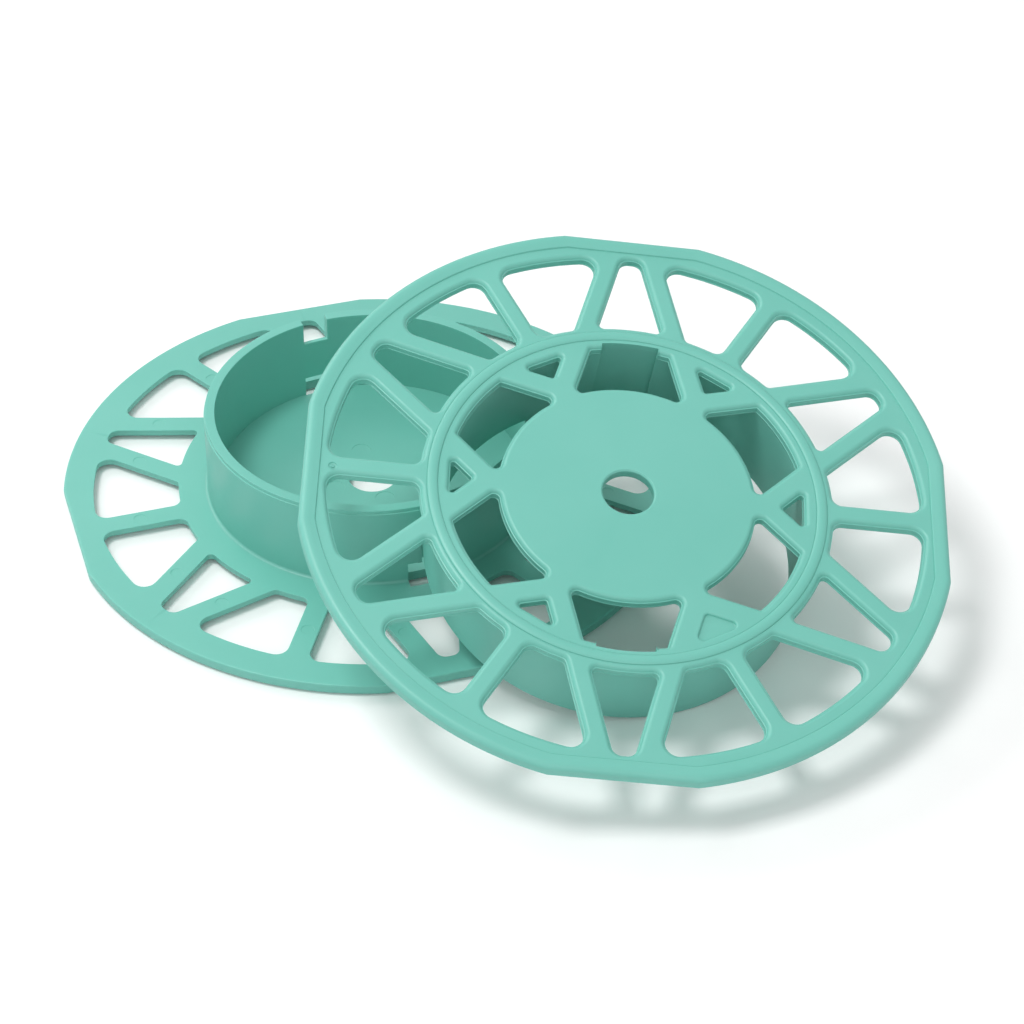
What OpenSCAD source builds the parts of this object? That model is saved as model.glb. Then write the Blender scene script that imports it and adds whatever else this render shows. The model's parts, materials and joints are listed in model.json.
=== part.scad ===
// Two-piece wire spool, stored with its halves apart.
//
// The drum half lies flat, drum up. The cover half leans on it: its drum stands
// on the ground, in the notch of the inner drum's rim and on that rim.
// Put together, the cover half's drum slips over the inner drum, its two lugs run
// down the two channels, and a twist locks them under the inner drum's wall.
//
// Origin: on the arbor axis, at the inner face of the drum half's flange.
// A half is drawn with its flange's inner face at z = 0 and its outer face below.

/* [Flange] */
// Diameter of both flanges, across the round stretches of the rim
flange_d = 203.2; // [190:0.2:230]
// Angle that half of each of the four flats takes up, seen from the axis
flat_half_angle = 12.5; // [8:0.25:18]
// Thickness of the plate, between its inner and outer faces
plate_t = 3.4; // [2.6:0.1:4.5]
// Height of the rim's crest above the plate's outer face
rim_rise = 0.9; // [0.7:0.1:1.5]
// Width of the rim, from the outline in to the step down to the plate
rim_w = 5.3; // [4.8:0.1:7]
// Height of the step at the rim's inner edge, from which the rim rises to its crest
step_rise = 0.45; // [0.2:0.05:0.6]
// Flat top of the rim's crest, measured outward
crest_w = 1.4; // [0.6:0.1:2]
// How far the crest lies inside the outline, as the width of the rim's rounded shoulder
shoulder_w = 1.3; // [0.8:0.1:1.8]
// How far the rim's edge leans in from the inner face to the outer face
rim_inset = 0.1; // [0.05:0.05:0.5]

/* [Flange windows] */
// Solid band between the rim's outline and the windows
window_band = 9.8; // [8.5:0.1:14]
// Solid band between the cover drum's outer wall and the windows
hub_band = 4.1; // [3:0.1:6]
// Width of the six radial spokes
radial_spoke_w = 7; // [4:0.1:9]
// Width of the slanted spokes that flank each triangular window
slant_spoke_w = 7.1; // [4:0.1:8]
// Distance from a triangular window's middle line to a slanted spoke's, at the hub
slant_root = 13.7; // [12:0.1:15.5]
// The same distance at the rim
slant_tip = 6.7; // [6.3:0.1:9]
// Corner radius of the triangular windows at the hub
triangle_hub_r = 1.5; // [0.5:0.1:2.5]
// Corner radius of the triangular windows at the rim
triangle_rim_r = 2.9; // [1:0.1:3]
// Corner radius of the four-sided windows beside a radial spoke, at the hub
radial_hub_r = 3; // [1:0.1:4]
// Corner radius of the four-sided windows beside a slanted spoke, at the hub
slant_hub_r = 1.8; // [0.5:0.1:3]
// Corner radius of the four-sided windows at the rim
quad_rim_r = 3.6; // [1:0.1:5]

/* [Hub] */
// Diameter of the arbor hole in both halves
arbor_d = 15.88; // [10:0.01:26]
// Chamfer of the arbor hole at the outer face
arbor_chamfer = 0.5; // [0.2:0.1:1]
// Width of the raised ring on the outer face, over the cover drum's wall
bead_w = 3.3; // [2:0.1:4]
// Height of the raised ring
bead_rise = 0.6; // [0.2:0.1:0.9]
// Distance from the windows' inner end to the raised ring
bead_inset = 2.3; // [1:0.1:4]

/* [Cover drum] */
// Outer diameter of the cover half's drum, on which the wire is wound
cover_drum_d = 119.6; // [114:0.2:126]
// Length of the cover half's drum, which sets the winding width
cover_drum_h = 30.2; // [26:0.1:40]
// Wall of the cover half's drum at its free end
cover_wall = 3.6; // [2.6:0.1:4]
// How much thicker that wall grows up to the flange
cover_wall_growth = 0.7; // [0.2:0.1:1]

/* [Inner drum] */
// Radial gap between the two drums at the cover drum's free end
drum_gap = 2; // [1.8:0.1:2.6]
// Wall of the inner drum
inner_wall = 3.6; // [3:0.1:4.5]
// How far the inner drum's rim stays short of the cover half's flange
inner_drum_short = 0.8; // [0.5:0.1:3]
// Height of the set-back edge round the inner drum's rim
lip_h = 1.3; // [0.5:0.1:3]
// How far that edge is set back from the wall
lip_setback = 0.35; // [0.1:0.05:0.6]
// Fillet between the inner drum and its flange
root_r = 1; // [0.3:0.1:1.5]

/* [Bayonet] */
// Direction of the middle of the channels on the inner drum
channel_angle = 96.65; // [95:0.05:100]
// Width of the channels and of the notches in the rim above them
channel_w = 8.6; // [6:0.1:10]
// Depth of the channels in the inner drum's outer face
channel_depth = 2.1; // [1.5:0.1:2.4]
// Height of the inner drum's wall at the foot of its notches
notch_z = 21.1; // [15:0.1:23]
// Height of the lock windows at the foot of the inner drum
lock_z = 6.7; // [5:0.1:9]
// Direction of the closed end of the lock windows
lock_start = 87; // [84:0.1:88]
// Direction of the open end of the lock windows
lock_end = 101.5; // [101.3:0.1:104]
// How far the lock windows run out through the flange, past the inner drum
lock_reach = 3; // [2.4:0.1:4]
// How far the lock windows run in past the inner drum's bore
lock_inset = 0.3; // [0.2:0.1:1]
// Width of the snap bump at the top of the lock windows
bump_w = 1.6; // [0.8:0.1:2]
// Height of the snap bump
bump_h = 1; // [0.4:0.1:1.5]
// Width of the lugs inside the cover drum
lug_w = 2.8; // [1.5:0.1:3]
// Clearance round a lug once it is locked
lug_gap = 0.3; // [0.2:0.05:0.5]
// How far the lugs stop short of the cover drum's free end
lug_setback = 0.3; // [0.1:0.1:1]

/* [Cover web] */
// Distance from the solid disc in the middle of the cover half to its drum's bore
web_reach = 15.7; // [13.5:0.1:19]
// Corner radius of the web windows at the disc
web_disc_r = 1.6; // [0.5:0.1:3]
// Corner radius of the web windows at the drum
web_drum_r = 0.6; // [0.3:0.1:1.2]
// Width of the slanted struts between the disc and the drum
strut_w = 8; // [5:0.1:9]
// How far inside the disc's edge the outer sides of a pair of struts would meet
strut_inset = 3.2; // [2:0.1:5]
// Ledge left between the web windows and the cover drum's bore
web_ledge = 0.3; // [0.2:0.1:1]
// Distance from the cover drum's bore to the small triangular windows
trim_band = 1.1; // [0.5:0.1:2]
// Corner radius of the small triangular windows
trim_r = 0.7; // [0.3:0.1:1]
// Depth of the one small triangle that doesn't go through
blind_depth = 1; // [0.4:0.1:2]
// Half the width of the relief that runs down the bore from two web windows
relief_half_w = 9; // [5:0.1:12]
// Depth of that relief into the cover drum's wall at the web
relief_depth = 1.6; // [0.8:0.1:2]

/* [Resting place of the cover half] */
// Angle from the middle of the front notch to where the cover drum's wall stands in it
notch_contact = -0.95; // [-1.2:0.05:-0.7]
// Direction in which the cover drum's wall lies on the inner drum's rim
rim_contact = -23.1; // [-30:0.1:-18]
// Direction of one radial spoke of the cover half, seen from above
rest_spin = -18.2; // [-48:0.1:12]
// Gap left where the cover drum rests on the ground, in the notch and on the rim
rest_gap = 0.3; // [0.1:0.05:0.5]

/* [Hidden] */
$fn = 120;
plastic = [0.36, 0.73, 0.65];
eps = 0.01;
over = 1;
spoke_pitch = 60;
corner_steps = 6;
tip_land = 0.2;
arc_steps = 10;
flange_r = flange_d / 2;
window_out = flange_r - window_band;
cover_r = cover_drum_d / 2;
window_in = cover_r + hub_band;
bead_out = window_in - bead_inset;
cover_bore_end = cover_r - cover_wall;
cover_bore_web = cover_bore_end - cover_wall_growth;
inner_r = cover_bore_end - drum_gap;
inner_bore = inner_r - inner_wall;
inner_drum_h = cover_drum_h - inner_drum_short;
lug_tip = inner_r - channel_depth + lug_gap;
lug_h = lock_z - lug_gap;
lug_half_angle = asin((lug_w / 2 + lug_gap) / inner_r);
lug_angle = lock_start + lug_half_angle;
bump_angle = lug_angle + lug_half_angle + asin(bump_w / 2 / inner_r);
web_window_out = cover_bore_web - web_ledge;
disc_r = cover_bore_web - web_reach;
strut_root = disc_r - strut_inset;
strut_apex = strut_root + strut_w * sqrt(2);
trim_base = cover_bore_web - trim_band;

// ---- Plane geometry of the windows ----
// An edge is [point, direction]; a direction is an angle in degrees.

function unit(a) = [cos(a), sin(a)];
function heading(p) = atan2(p.y, p.x);
function turned(p, a) = [p.x * cos(a) - p.y * sin(a), p.x * sin(a) + p.y * cos(a)];
function turned_edge(edge, a) = [turned(edge[0], a), edge[1] + a];
function shifted_edge(edge, d) = [edge[0] + d * unit(edge[1] + 90), edge[1]];
function mirrored_edge(edge) = [[edge[0].x, -edge[0].y], -edge[1]];

// Shorter way round from direction a0 to direction a1
function sweep(a0, a1) = (a1 - a0 + 900) % 360 - 180;

// Points along a circle from direction a0 to direction a1, the short way round
function arc(centre, r, a0, a1, steps) =
    [for (i = [0:steps]) centre + r * unit(a0 + sweep(a0, a1) * i / steps)];

// The same without its two end points
function open_arc(r, a0, a1, steps) =
    [for (i = [1:steps - 1]) r * unit(a0 + sweep(a0, a1) * i / steps)];

// Centre of a corner of radius c, beside an edge and at distance rho from the axis
function corner_centre(edge, side, rho, c) =
    let (
        along = unit(edge[1]),
        foot = edge[0] + side * c * unit(edge[1] + 90),
        b = foot * along
    )
    foot + (sqrt(rho * rho - foot * foot + b * b) - b) * along;

// Outline between two edges and two circles about the axis, with round corners.
// radii: low edge at the inner circle, low edge at the outer circle,
// high edge at the outer circle, high edge at the inner circle.
function sector_outline(low, high, r_in, r_out, radii) =
    let (
        low_in = corner_centre(low, 1, r_in + radii[0], radii[0]),
        low_out = corner_centre(low, 1, r_out - radii[1], radii[1]),
        high_out = corner_centre(high, -1, r_out - radii[2], radii[2]),
        high_in = corner_centre(high, -1, r_in + radii[3], radii[3])
    )
    concat(
        arc(low_in, radii[0], heading(low_in) + 180, low[1] - 90, corner_steps),
        arc(low_out, radii[1], low[1] - 90, heading(low_out), corner_steps),
        open_arc(r_out, heading(low_out), heading(high_out), arc_steps),
        arc(high_out, radii[2], heading(high_out), high[1] + 90, corner_steps),
        arc(high_in, radii[3], high[1] + 90, heading(high_in) + 180, corner_steps),
        open_arc(r_in, heading(high_in), heading(low_in), arc_steps)
    );

// Middle line of the slanted spoke below a triangular window that points along +X
slant_angle = atan2(slant_root - slant_tip, window_out - window_in);
slant_line = [[window_in, -slant_root], slant_angle];
triangle_tip_r = min(triangle_rim_r, slant_tip - slant_spoke_w / 2 / cos(slant_angle) - tip_land);

module triangle_window() {
    low = shifted_edge(slant_line, slant_spoke_w / 2);
    radii = [triangle_hub_r, triangle_tip_r, triangle_tip_r, triangle_hub_r];
    polygon(sector_outline(low, mirrored_edge(low), window_in, window_out, radii));
}

module quad_window() {
    low = [[0, radial_spoke_w / 2], 0];
    high = turned_edge(shifted_edge(slant_line, -slant_spoke_w / 2), spoke_pitch / 2);
    radii = [radial_hub_r, quad_rim_r, quad_rim_r, slant_hub_r];
    polygon(sector_outline(low, high, window_in, window_out, radii));
}

module flange_windows() {
    for (a = [0:spoke_pitch:359]) {
        rotate(a) quad_window();
        rotate(a) mirror([0, 1]) quad_window();
        rotate(a + spoke_pitch / 2) triangle_window();
    }
}

// ---- Flange, shared by both halves: inner face at z = 0, outer face below ----

// Cone frustum on z = 0 with four flats; both its round and its flats lean in
module flatted_frustum(r_low, r_high, h) {
    lean = atan2((r_low - r_high) * cos(flat_half_angle), h);
    difference() {
        cylinder(h = h, r1 = r_low, r2 = r_high);
        for (a = [0:90:270])
            rotate(a)
                translate([r_low * cos(flat_half_angle), 0, 0])
                    rotate([0, -lean, 0])
                        translate([0, -flange_r, -flange_r])
                            cube([flange_r, flange_d, flange_d]);
    }
}

// Solid flange with its rim, without windows, outer face up, inner face at z = 0
module flange_blank() {
    step_r = flange_r - rim_w;
    crest_out = flange_r - shoulder_w;
    crest_in = crest_out - crest_w;
    slope = (crest_in - step_r - step_rise / 2) / (rim_rise - step_rise);
    difference() {
        union() {
            flatted_frustum(flange_r, flange_r - rim_inset, plate_t);
            translate([0, 0, plate_t - eps])
                flatted_frustum(flange_r - rim_inset, crest_out, rim_rise + eps);
        }
        translate([0, 0, plate_t])
            flatted_frustum(step_r, step_r + rim_rise, rim_rise * 2);
        translate([0, 0, plate_t])
            flatted_frustum(crest_in - slope * rim_rise, crest_in + slope * rim_rise, rim_rise * 2);
    }
    translate([0, 0, plate_t - eps])
        difference() {
            cylinder(h = bead_rise + eps, r = bead_out);
            translate([0, 0, -over])
                cylinder(h = bead_rise + 2 * over, r = bead_out - bead_w);
        }
}

module flange() {
    mirror([0, 0, 1])
        difference() {
            flange_blank();
            translate([0, 0, -over])
                linear_extrude(plate_t + 2 * over) flange_windows();
            translate([0, 0, -over])
                cylinder(h = plate_t + 2 * over, d = arbor_d);
            translate([0, 0, plate_t - arbor_chamfer])
                cylinder(h = 2 * arbor_chamfer, d1 = arbor_d, d2 = arbor_d + 4 * arbor_chamfer);
        }
}

// ---- Drum half ----

// Section of the inner drum's wall, with the fillet at its foot
function inner_wall_section() = concat(
    [[inner_bore, -eps], [inner_r + root_r, -eps]],
    arc([inner_r + root_r, root_r], root_r, 270, 180, corner_steps),
    [
        [inner_r, inner_drum_h - lip_h],
        [inner_r - lip_setback, inner_drum_h - lip_h],
        [inner_r - lip_setback, inner_drum_h],
        [inner_bore, inner_drum_h]
    ]
);

// Wedge about the axis between two directions, used to bound the lock windows
module wedge(r, a0, a1, h) {
    linear_extrude(h)
        polygon(concat([[0, 0]], arc([0, 0], r * 1.1, a0, a1, arc_steps)));
}

// Lock window: through the inner drum's wall, its foot and the flange below it
module lock_window() {
    translate([0, 0, -plate_t - rim_rise - over])
        intersection() {
            wedge(inner_r + lock_reach, lock_start, lock_end, plate_t + rim_rise + over + lock_z);
            difference() {
                cylinder(h = plate_t + rim_rise + over + lock_z, r = inner_r + lock_reach);
                translate([0, 0, -over])
                    cylinder(h = plate_t + lock_z + rim_rise + 3 * over, r = inner_bore - lock_inset);
            }
        }
}

// Channel down the wall's outer face and the notch in the rim above it
module channel() {
    rotate(channel_angle) {
        translate([inner_r - channel_depth, -channel_w / 2, lock_z - over])
            cube([channel_depth + root_r + over, channel_w, inner_drum_h]);
        translate([inner_bore - over, -channel_w / 2, notch_z])
            cube([inner_wall + 2 * over, channel_w, inner_drum_h]);
    }
}

// Bump that a lug snaps past, hanging from the top of a lock window
module snap_bump() {
    rotate(bump_angle)
        translate([inner_bore + inner_wall / 4, -bump_w / 2, lock_z - bump_h])
            cube([inner_wall / 2, bump_w, bump_h + eps]);
}

module drum_half() {
    color(plastic) {
        difference() {
            union() {
                flange();
                rotate_extrude() polygon(inner_wall_section());
            }
            for (a = [0, 180])
                rotate(a) {
                    lock_window();
                    channel();
                }
        }
        for (a = [0, 180])
            rotate(a) snap_bump();
    }
}

// ---- Cover half ----

module web_window() {
    low = [[strut_root, 0], 45];
    high = turned_edge(mirrored_edge(low), spoke_pitch);
    radii = [web_disc_r, web_drum_r, web_drum_r, web_disc_r];
    polygon(sector_outline(low, high, disc_r, web_window_out, radii));
}

// Small triangle with its apex towards the axis, along +X
module trim_window() {
    half_w = trim_base - strut_apex;
    reach = trim_r / tan(22.5);
    base_x = trim_base - trim_r;
    base_y = half_w - reach;
    polygon(concat(
        arc([strut_apex + trim_r * sqrt(2), 0], trim_r, 135, 225, corner_steps),
        arc([base_x, -base_y], trim_r, -135, 0, corner_steps),
        arc([base_x, base_y], trim_r, 0, 135, corner_steps)
    ));
}

module web_windows() {
    for (a = [0:spoke_pitch:359])
        rotate(a) web_window();
    for (a = [2 * spoke_pitch:spoke_pitch:360])
        rotate(a) trim_window();
}

// Relief beside the bore, from the outer face down to the lug
module relief() {
    depth = plate_t + over;
    translate([0, 0, -depth])
        intersection() {
            cylinder(h = depth + cover_drum_h - lug_h, r = cover_bore_web + relief_depth);
            translate([cover_bore_web / 2, -relief_half_w, 0])
                cube([cover_bore_web, 2 * relief_half_w, depth + cover_drum_h - lug_h]);
        }
}

// Lug that stands in from the bore at the drum's free end
module lug() {
    h = lug_h - lug_setback;
    translate([0, 0, cover_drum_h - lug_h])
        intersection() {
            difference() {
                cylinder(h = h, r = cover_bore_end + cover_wall / 2);
                translate([0, 0, -over])
                    cylinder(h = h + 2 * over, r = lug_tip);
            }
            translate([inner_bore, -lug_w / 2, 0])
                cube([cover_wall + inner_wall + drum_gap, lug_w, h]);
        }
}

// Cover half with its inner face at z = 0 and its drum standing up
module cover_moulding() {
    difference() {
        union() {
            flange();
            rotate_extrude()
                polygon([
                    [cover_bore_web, -eps],
                    [cover_r, -eps],
                    [cover_r, cover_drum_h],
                    [cover_bore_end, cover_drum_h]
                ]);
        }
        translate([0, 0, -plate_t - over])
            linear_extrude(plate_t + over + eps) web_windows();
        rotate(spoke_pitch)
            translate([0, 0, -plate_t - over])
                linear_extrude(blind_depth + over) trim_window();
        for (a = [90, 270])
            rotate(a) relief();
    }
    for (a = [0, 180])
        rotate(a - lug_angle) lug();
}

// ---- Resting place of the cover half ----
// The circle at the cover drum's free end goes through two points, one above the
// floor of a notch and one above the inner drum's rim, and its lowest point is
// just above the ground. These three settle the circle's centre and its slope.

function raised(p, z) = [p.x, p.y, z];

notch_direction = channel_angle - 180 + notch_contact;
notch_point = raised((inner_r - channel_depth) * unit(notch_direction), notch_z + rest_gap);
rim_point = raised((inner_r - lip_setback) * unit(rim_contact), inner_drum_h + rest_gap);
chord = norm(rim_point - notch_point);
along = (rim_point - notch_point) / chord;
cover_mid = (cover_bore_end + cover_r) / 2;
foot_at = (chord ^ 2 + cover_mid ^ 2 - cover_bore_end ^ 2) / (2 * chord);
foot = notch_point + foot_at * along;
reach = sqrt(cover_mid ^ 2 - foot_at ^ 2);
level = cross([0, 0, 1], along) / norm(cross([0, 0, 1], along));
upward = cross(along, level);
drop = foot.z + plate_t + rim_rise - rest_gap;
qa = cover_r ^ 2 - reach ^ 2;
qb = drop * reach;
qc = cover_r ^ 2 * (1 - upward.z ^ 2) - drop ^ 2;
dip = (qb - sqrt(qb ^ 2 - qa * qc)) / qa / upward.z;
outward = dip * upward - sqrt(1 - dip ^ 2) * level;
end_centre = foot + reach * outward;
cover_axis = cross(outward, along);
rest_tilt = acos(cover_axis.z);
rest_heading = atan2(cover_axis.y, cover_axis.x);

module cover_half() {
    color(plastic)
        translate(end_centre)
            rotate([0, 0, rest_heading])
                rotate([0, rest_tilt, 0])
                    rotate([0, 0, rest_spin - rest_heading])
                        translate([0, 0, cover_drum_h])
                            rotate([180, 0, 0])
                                cover_moulding();
}

drum_half();
cover_half();
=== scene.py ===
"""Wire spool in two halves: each moulding is built again with its soft moulded edges.

Lengths inside the mesh functions are in millimetres, in the half's own frame: the arbor axis is Z,
the flange's inner face is at z = 0, the drum stands up from it and the outer face is below.
"""

import json
import math

import bmesh
import bpy
import numpy as np
from mathutils import Matrix, Vector
from mathutils.geometry import delaunay_2d_cdt


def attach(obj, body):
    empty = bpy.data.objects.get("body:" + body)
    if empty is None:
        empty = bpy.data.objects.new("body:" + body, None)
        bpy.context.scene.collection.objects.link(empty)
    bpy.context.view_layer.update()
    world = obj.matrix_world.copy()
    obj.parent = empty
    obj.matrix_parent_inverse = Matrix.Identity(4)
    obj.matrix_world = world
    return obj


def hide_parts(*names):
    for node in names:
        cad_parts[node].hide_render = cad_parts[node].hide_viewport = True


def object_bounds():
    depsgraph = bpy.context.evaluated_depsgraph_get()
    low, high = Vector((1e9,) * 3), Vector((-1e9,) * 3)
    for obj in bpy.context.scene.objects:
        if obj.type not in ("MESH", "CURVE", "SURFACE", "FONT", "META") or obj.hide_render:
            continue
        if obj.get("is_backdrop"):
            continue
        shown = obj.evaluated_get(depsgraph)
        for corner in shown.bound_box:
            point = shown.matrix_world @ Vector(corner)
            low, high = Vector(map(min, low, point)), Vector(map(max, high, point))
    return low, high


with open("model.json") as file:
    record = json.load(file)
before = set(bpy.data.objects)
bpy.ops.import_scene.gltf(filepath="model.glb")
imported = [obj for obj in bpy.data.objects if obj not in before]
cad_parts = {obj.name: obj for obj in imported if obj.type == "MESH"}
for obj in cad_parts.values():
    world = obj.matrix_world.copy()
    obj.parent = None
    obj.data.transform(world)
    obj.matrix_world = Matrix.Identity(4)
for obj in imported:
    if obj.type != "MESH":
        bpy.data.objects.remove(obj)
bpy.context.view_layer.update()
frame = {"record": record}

bl_info = {
    "name": "Wire Spool Halves",
    "version": (1, 0, 0),
    "blender": (4, 5, 0),
    "location": "View3D > Sidebar > Spool",
    "description": "Builds the two moulded halves of a wire spool and their stage",
    "category": "Add Mesh",
}

MM = 0.001
SPOKE_PITCH = math.radians(60)

# Corner radii of the windows: hub low, rim low, rim high, hub high
TRIANGLE_CORNERS = (1.5, 3.1, 3.1, 1.5)
QUAD_CORNERS = (3.0, 4.0, 4.0, 1.8)
WEB_CORNERS = (1.6, 0.6, 0.6, 1.6)
TRIM_CORNER = 0.7

# Flat strips that a profile keeps beside its edge, before the face's triangles take over
STRIP = 0.4
RIM_STRIP = 0.12
INNER_STRIP = 1.0
BORE_STRIP = 0.7
# Roundings along the rim's profile, from its foot groove to its crest, and along the arbor hole's
RIM_ROUNDS = (0.06, 0.06, 0.3, 7.0, 2.0, 1.6)
BORE_ROUNDS = (0.2, 0.3, 0.3)
BORE_CHAMFER = 0.5
BEAD_FLATTENING = 1.15
# Angle at which a window's rounded edge leaves its wall, and how far below the inner face its foot lies
EDGE_START = 0.42
FOOT_LEDGE = (0.45, 0.5)
# Share of a broken edge or a ledge that its small slope takes
SLOPE = 0.3
# Foot of the blind triangle's wall: how far it runs in and how high it starts
BLIND_FOOT = (0.15, 0.1)
# Points of a web window's outer arc lie less than this inside a relief's ends
RELIEF_SEARCH = 2.0

# Ejector marks on the drum's floor as (x, y), and how much nearer than its own radius a mark on a
# slanted spoke lies along the middle line of its window
FLOOR_MARKS = ((0.1, 14.6), (1.1, -12.0), (-13.1, -2.1))
MARK_SHORTFALL = 1.0
# Gate: its offset from the spoke's middle line; its stub's share of the dimple's radius, the depth of
# the stub's foot under the dimple's floor and the stub's height
GATE_OFFSET = 1.07
STUB_SHARE = 0.5
STUB_FOOT = 0.1
STUB_HEIGHT = 0.35

# How deep and how far in the drums' walls run inside the flange, to overlap with it
SUNK = 0.6
SUNK_INSET = 0.4
# Rounding of the drums' sharp edges, which starts above the flange
INNER_SOFTENING = 0.28
COVER_SOFTENING = 0.3
SOFT_ABOVE = 0.05
SOFT_DEGREES = 40
SOFT_SEGMENTS = 3
NEAR = 0.1

# How finely curves are divided
CORNER_STEPS = 8
ARC_STEPS = 14
FILLET_STEPS = 6
PROFILE_STEPS = 5
LOCK_STEPS = 6
ROOT_TURNS = 84
BEAD_POINTS = 15
FLAT_POINTS = 9
ROUND_POINTS = 41
RING_POINTS = 180
MARK_POINTS = 28
STUB_POINTS = 16
DRUM_PITCH_DEGREES = 2.0
PITCH_SHARE = 0.6

SHARP_DEGREES = 38
FACE_WEIGHT = 80
WELD = 1e-4
APART = 1e-5
TINY = 1e-6
INSIDE_WITHOUT_HOLES = 2

# Stage, in metres and watts. Soft boxes: name, place, width, height, power
SOFT_BOXES = (
    ("key", (-0.44, -0.05, 1.22), 0.38, 0.38, 6.9),
    ("back", (-0.6, 1.1, 0.95), 1.0, 0.7, 6.5),
    ("front", (-0.3, -1.4, 1.0), 1.2, 0.9, 4.6),
)
LIGHT_AIM = (0.03, -0.04, 0.02)
SURROUND = 0.57
FLOOR_SIZE = 12.0
FLOOR_SEEN = 1.0
FLOOR_LIT = 0.82
CAMERA_PLACE = (-0.181037, -0.710713, 0.591034)
CAMERA_AIM = (0.038852, -0.030824, 0.0)
CAMERA_ROLL_DEGREES = 0.9755
CAMERA_LENS = 99.784
CAMERA_REACH = (0.05, 30.0)


# ---- What a user may change ----

def length(label, default_mm, text):
    """A length property, given in millimetres and kept in metres."""
    return bpy.props.FloatProperty(
        name=label, description=text, default=default_mm * MM, min=0.0, precision=5, unit="LENGTH"
    )


def angle(label, degrees, text):
    """An angle property, given in degrees and kept in radians."""
    return bpy.props.FloatProperty(
        name=label, description=text, default=math.radians(degrees), subtype="ANGLE", unit="ROTATION"
    )


def colour(label, default, text):
    """A colour property."""
    return bpy.props.FloatVectorProperty(
        name=label, description=text, default=default, size=3, min=0.0, max=1.0, subtype="COLOR"
    )


def amount(label, default, text, high=1.0):
    """A plain number between nothing and a limit."""
    return bpy.props.FloatProperty(name=label, description=text, default=default, min=0.0, max=high)


class SpoolFlangeSizes(bpy.types.PropertyGroup):
    """Sizes of the spoked flange that both halves share."""

    radius: length("Radius", 101.6, "Radius of the flange across its round stretches")
    flat_half_angle: angle("Flat half angle", 12.5, "Half of the angle that each flat takes up")
    plate: length("Plate thickness", 3.4, "Thickness of the plate")
    rim_rise: length("Rim rise", 0.9, "Height of the rim's crest above the outer face")
    rim_width: length("Rim width", 5.3, "Width of the rim, from the outline to the step")
    step_rise: length("Step rise", 0.45, "Height of the step at the rim's inner edge")
    crest: length("Crest width", 1.4, "Flat top of the rim's crest")
    shoulder: length("Shoulder width", 1.3, "Width of the rounded shoulder outside the crest")
    rim_inset: length("Rim inset", 0.1, "How far the rim's edge leans in")
    groove: length("Foot groove", 0.12, "Fine groove at the feet of the step and the raised ring")
    window_out: length("Windows' outer radius", 91.7, "Radius of the windows' outer ends, inner face")
    window_in: length("Windows' inner radius", 63.9, "Radius of the windows' inner ends")
    radial_width: length("Radial spoke width", 7.0, "Width of the radial spokes")
    slant_width: length("Slanted spoke width", 7.1, "Width of the slanted spokes")
    slant_root: length("Slanted spoke root", 13.7, "Half distance of a slanted pair at the hub")
    slant_tip: length("Slanted spoke tip", 6.7, "Half distance of a slanted pair at the rim")
    arbor: length("Arbor hole radius", 7.94, "Radius of the arbor hole")
    bead_out: length("Raised ring radius", 61.6, "Outer radius of the raised ring")
    bead_width: length("Raised ring width", 3.3, "Width of the raised ring")
    bead_rise: length("Raised ring height", 0.6, "Height of the raised ring")
    fillet: length("Window fillet", 1.45, "Width of the windows' rounded edges on the outer face")
    fillet_rise: length("Window fillet rise", 1.2, "Height of those rounded edges")
    window_draft: length("Window draft", 0.05, "How far the windows' walls open to the outer face")
    window_ledge: length("Window ledge", 0.28, "Fine ledge between the wall and the rounded edge")
    window_foot: length("Window foot", 0.15, "Fine ledge at the foot of the windows' walls")
    break_edge: length("Broken edge", 0.18, "Rounding of the windows' edges on the inner face")
    outer_edge: length("Outer edge", 0.45, "Rounding of the outline's edge on the inner face")
    pin_at: length("Pin mark radius", 78.1, "Distance of the ejector marks from the axis")
    pin_radius: length("Pin mark size", 2.15, "Radius of the ejector marks on the spokes")
    pin_depth: length("Pin mark depth", 0.14, "Depth of the ejector marks")
    floor_pin: length("Floor pin mark size", 3.2, "Radius of the ejector marks inside the drum")
    gate_at: length("Gate mark radius", 90.25, "Distance of the gate's mark from the axis")
    gate_radius: length("Gate mark size", 1.4, "Radius of the dimple round the gate's stub")
    gate_depth: length("Gate mark depth", 0.4, "Depth of that dimple")


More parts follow.
